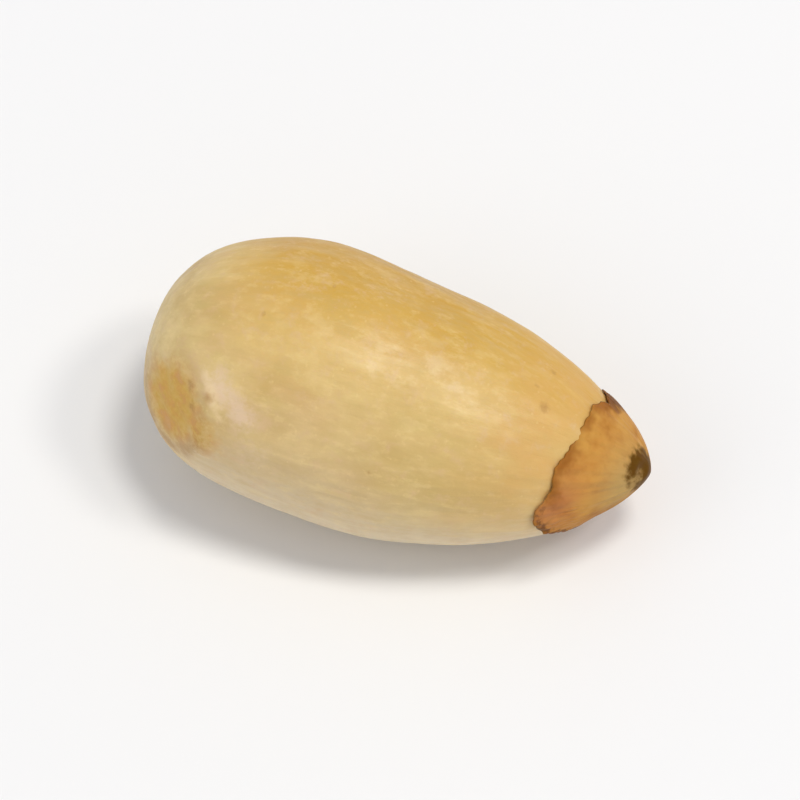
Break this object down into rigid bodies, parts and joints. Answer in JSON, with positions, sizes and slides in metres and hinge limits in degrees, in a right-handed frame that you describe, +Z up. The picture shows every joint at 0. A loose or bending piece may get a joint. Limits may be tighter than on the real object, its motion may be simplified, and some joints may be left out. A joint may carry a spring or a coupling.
{
  "type": "shelled pine nut kernel",
  "caption": "Shelled pine nut kernel lying on its side: an ivory teardrop with a shallow scar on its round end and a torn remnant of brown seed skin capping its tip.",
  "frame": {"origin": "middle of the bottom of the bounding box, on the surface that the nut lies on", "axes": "+X along the nut, from its round end to its tip; +Z up; +Y to the side that the tip leans to"},
  "size_m": [0.0124, 0.0066, 0.0062],
  "materials": {
    "kernel_ivory": "satin",
    "skin_brown": "satin"
  },
  "bodies": {
    "root": {"kernel": "kernel_ivory", "skin_cap": "skin_brown"}
  },
  "joints": []
}
